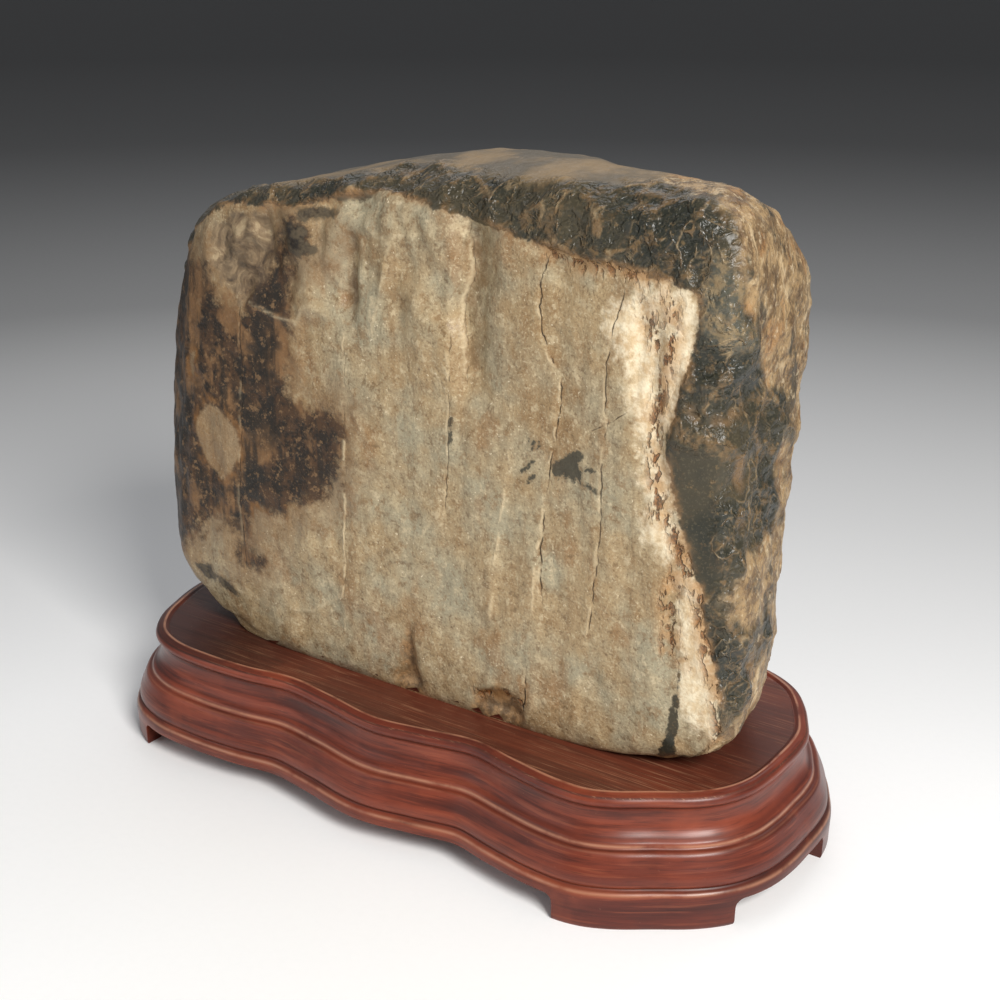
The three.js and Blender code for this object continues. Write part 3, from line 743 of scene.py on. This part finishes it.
def build_stand():
    line, out = plan()
    curves = [catmull(run, False, 3) for run in RUNS]
    profile = np.vstack([curve[:-1] for curve in curves[:-1]] + curves[-1:])
    rings = [np.column_stack([line + out * o, np.full(AROUND, z)]) for o, z in profile]
    body = linked("stand_body", ring_mesh("stand_body", rings))
    hollow_rings = [np.column_stack([line + out * WALL_INSET, np.full(AROUND, z)]) for z in (HOLLOW_TOP, CUT_BELOW)]
    cutters = [linked("c0", ring_mesh("c0", hollow_rings)), linked("c1", bar_mesh("c1", GAP_LONG, False)),
               linked("c2", bar_mesh("c2", GAP_END, True))]
    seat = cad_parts["rock"].data.copy()
    grown = read(seat) + read(seat, True) * SEAT_GAP * MM
    seat.vertices.foreach_set("co", grown.ravel())
    seat.update()
    cutters.append(linked("c3", seat))
    for c in cutters:
        m = body.modifiers.new("cut", "BOOLEAN")
        m.operation, m.object, m.solver = "DIFFERENCE", c, "EXACT"
    mesh = bpy.data.meshes.new_from_object(body.evaluated_get(bpy.context.evaluated_depsgraph_get()))
    for o in cutters + [body]:
        bpy.data.objects.remove(o)
    P = read(mesh) / MM
    N = read(mesh, True)
    sides = (np.abs(N[:, 2]) < 0.9) & (P[:, 2] > 0.2)
    wander = WANDER * fractal(P, 34, 2, 21) * sides
    mesh.vertices.foreach_set("co", ((P + N * wander[:, None]) * MM).ravel())
    mesh.set_sharp_from_angle(angle=math.radians(30))
    flat = [abs(p.normal.z) > 0.9995 for p in mesh.polygons]
    mesh.polygons.foreach_set("use_smooth", [not k for k in flat])
    mesh.update()
    return mesh


def wood_material():
    g = Graph("rosewood_surface")
    x, _, z = g.split(g.coord)
    zmm = g.mul(z, 1000.0)
    c = lambda v: g.sub(v, 0.5)
    top = g.mul(g.step(42.9, 43.2, zmm), g.sub(1.0, g.step(43.45, 43.6, zmm)))
    on_top = lambda a, b: g.add(g.mul(top, b), g.mul(g.sub(1.0, top), a))
    # the grain follows the moulding round the sides and runs straight along the flat top
    figure = on_top(g.noise(30, 4, 0.6, stretch=(0.2, 0.2, 1), shift=1.0, distort=0.6),
                    g.noise(46, 4, 0.6, stretch=(0.1, 1, 1), shift=1.0))
    streak = on_top(g.noise(6, 5, 0.62, stretch=(0.06, 0.06, 1), shift=3.0, distort=0.25),
                    g.noise(8, 5, 0.65, stretch=(0.022, 1, 1), shift=3.0))
    fine = on_top(g.noise(1.5, 4, 0.6, stretch=(0.035, 0.035, 1), shift=6.0),
                  g.noise(1.6, 4, 0.65, stretch=(0.014, 1, 1), shift=6.0))
    pore = on_top(g.noise(0.6, 2, 0.5, stretch=(0.06, 0.06, 1), shift=9.0),
                  g.noise(0.7, 2, 0.5, stretch=(0.03, 1, 1), shift=9.0))
    blotch = g.noise(28, 4, 0.6, shift=2.0)
    dust = g.noise(1.3, 3, 0.6, shift=4.0)

    col = g.mix(g.step(0.36, 0.64, figure), srgb(86, 33, 22), srgb(122, 54, 34))
    col = g.layers(col, [(0.50, 0.68, streak, 0.8, (58, 21, 14)), (0.44, 0.30, streak, 0.5, (146, 70, 43)),
                         (0.50, 0.66, fine, 0.5, (56, 21, 14)), (0.44, 0.32, fine, 0.35, (150, 80, 54)),
                         (0.58, 0.68, pore, 0.3, (38, 15, 10)), (0.52, 0.7, blotch, 0.3, (152, 72, 44)),
                         (0.48, 0.3, blotch, 0.35, (62, 24, 18))])

    # pale filler left in the open pores of the flat top, which is browner and duller
    col = g.mix(g.mul(top, 0.5), col, srgb(80, 46, 33))
    filled = g.noise(0.5, 2, 0.5, stretch=(0.018, 1, 1), shift=14.0)
    pale_pore = g.mul(g.mul(g.step(0.57, 0.66, filled), top), g.step(0.36, 0.6, blotch))
    col = g.mix(g.mul(pale_pore, 0.5), col, srgb(168, 122, 92))

    # painted shadow: darkest where the stone keeps the light off the top, towards the left
    painted_stone_shadow = g.mul(g.step(-0.045, -0.085, x), g.step(0.0425, 0.0432, z))
    col = g.mix(g.mul(painted_stone_shadow, 0.6), col, srgb(30, 13, 9))

    # lacquer worn thin on the bead crests, paler also as a painted highlight; painted shade in the quirks
    crest = lambda height, width, strength: g.mul(g.bell(g.sub(zmm, height), width), strength)
    worn_and_highlight = g.add(g.add(crest(44.5, 0.10, 1.0), crest(27.3, 0.5, 1.0)),
                 g.add(crest(13.2, 0.5, 0.8), crest(25.8, 0.25, 0.25)))
    worn_and_highlight = g.mul(worn_and_highlight, g.step(0.28, 0.56, g.noise(14, 4, 0.6, shift=8.0)))
    col = g.mix(g.mul(worn_and_highlight, 0.55), col, srgb(196, 142, 112))
    # painted shade in the quirks under the beads
    quirk_shade = g.add(g.add(crest(39.7, 0.55, 0.9), crest(29.6, 0.6, 0.25)),
                 g.add(crest(14.7, 0.4, 0.7), crest(26.35, 0.16, 0.35)))
    col = g.mix(g.mul(quirk_shade, 0.8), col, srgb(32, 12, 8))
    col = g.mix(g.mul(g.step(0.68, 0.76, dust), 0.15), col, srgb(170, 130, 110))

    roughness = g.add(g.madd(c(streak), 0.2, g.madd(c(blotch), 0.2, 0.36)), g.add(g.mul(top, 0.10), g.mul(quirk_shade, 0.2)))
    h = g.madd(c(fine), -0.05, g.mul(c(streak), 0.12))
    g.bsdf.inputs["Specular IOR Level"].default_value = 0.35
    g.bsdf.inputs["Coat Weight"].default_value = 0.12
    g.bsdf.inputs["Coat Roughness"].default_value = 0.22
    return g.finish(col, roughness, h)


# ------------------------------------------------------------------ build the pieces
ROCK_VOXEL, ROCK_SMOOTHING = 1.42 * MM, 4
rock_mesh = remeshed(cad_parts["rock"], ROCK_VOXEL, ROCK_SMOOTHING)
carve_stone(rock_mesh)
rock_mesh.polygons.foreach_set("use_smooth", [True] * len(rock_mesh.polygons))
rock = linked("rock_surface", rock_mesh)
rock.data.materials.clear()
rock.data.materials.append(stone_material())
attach(rock, "root")
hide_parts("rock")

stand = linked("stand_surface", build_stand())
stand.data.materials.clear()
stand.data.materials.append(wood_material())
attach(stand, "root")
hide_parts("stand")


# ------------------------------------------------------------------ stage, light and camera
AZ, EL = math.radians(34.76), math.radians(20.81)  # camera right of the front, and above level
LENS_PX, DIST = 1546.0, 0.564                      # focal length for a 1000 wide picture, distance in metres
FLOOR_FADE, FLOOR_CENTRE = 3.5, 0.30               # metres over which the floor darkens, and from where
TARGET = Vector((0.0169, 0.0, 0.112))
BACK = Vector((math.sin(AZ) * math.cos(EL), -math.cos(AZ) * math.cos(EL), math.sin(EL)))


def stage_floor():
    rings, sides = [0.0, 0.2, 0.4, 0.8, 1.5, 3.0, 6.0, 12.0], 96
    verts, faces = [(0, 0, 0)], []
    turns = [2 * math.pi * i / sides for i in range(sides)]
    for r in rings[1:]:
        verts += [(r * math.cos(a), r * math.sin(a), 0) for a in turns]
    for i in range(sides):
        j = (i + 1) % sides
        faces.append((0, 1 + i, 1 + j))
        for k in range(len(rings) - 2):
            a, b = 1 + k * sides, 1 + (k + 1) * sides
            faces.append((a + i, b + i, b + j, a + j))
    mesh = bpy.data.meshes.new("floor")
    mesh.from_pydata(verts, [], faces)
    floor = linked("floor", mesh)
    g = Graph("floor_paper")
    flat = Vector((BACK.x, BACK.y, 0)).normalized() * FLOOR_CENTRE
    x, y, _ = g.split(g.coord)
    dx, dy = g.sub(x, flat.x), g.sub(y, flat.y)
    r = g.math("SQRT", g.add(g.mul(dx, dx), g.mul(dy, dy)))
    # painted light on the floor: brightest round the stone, fading to grey farther off
    ramp = g.node("ShaderNodeValToRGB")
    g.put(ramp.inputs[0], g.mul(r, 1 / FLOOR_FADE))
    e = ramp.color_ramp.elements
    e[0].position, e[0].color = 0.06, srgb(254, 254, 254)
    e[1].position, e[1].color = 1.0, srgb(72, 72, 72)
    for pos, v in ((0.10, 246), (0.13, 232), (0.17, 212), (0.31, 140), (0.60, 94)):
        el = e.new(pos)
        el.color = srgb(v, v, v)
    paper = g.noise(3, 3)
    tone = g.mix(g.mul(g.step(0.4, 0.7, paper), 0.02), ramp.outputs[0], srgb(200, 200, 200))
    g.finish(tone, 0.85, g.mul(paper, 0.02))
    floor.data.materials.append(g.mat)


def area(name, place, aim, size, watts, colour):
    light = bpy.data.lights.new(name, "AREA")
    light.shape, light.size, light.size_y = "RECTANGLE", *size
    light.energy, light.color = watts, colour
    o = linked(name, light)
    o.location = place
    o.rotation_euler = (Vector(aim) - Vector(place)).to_track_quat("-Z", "Y").to_euler()


stage_floor()
area("key", (1.06, -0.60, 0.98), (0, 0, 0.10), (0.50, 0.50), 25.0, (1.0, 0.985, 0.955))
area("fill", (-0.75, -1.10, 0.60), (0, 0, 0.12), (1.0, 0.8), 2.5, (0.98, 0.99, 1.0))
area("top", (-0.3, 0.75, 1.00), (0, 0, 0.15), (1.2, 0.5), 3.5, (0.98, 0.98, 1.0))
world = bpy.data.worlds.new("soft")
world.use_nodes = True
world.node_tree.nodes["Background"].inputs[0].default_value = (0.80, 0.82, 0.85, 1)
world.node_tree.nodes["Background"].inputs[1].default_value = 0.30
bpy.context.scene.world = world
bpy.context.scene.view_settings.view_transform = "Standard"

camera = bpy.data.cameras.new("camera")
camera.sensor_width, camera.lens = 36.0, 36.0 * LENS_PX / 1000
camera.clip_start, camera.clip_end = 0.01, 60
eye = linked("camera", camera)
eye.location = TARGET + BACK * DIST
eye.rotation_euler = BACK.to_track_quat("Z", "Y").to_euler()
bpy.context.scene.camera = eye
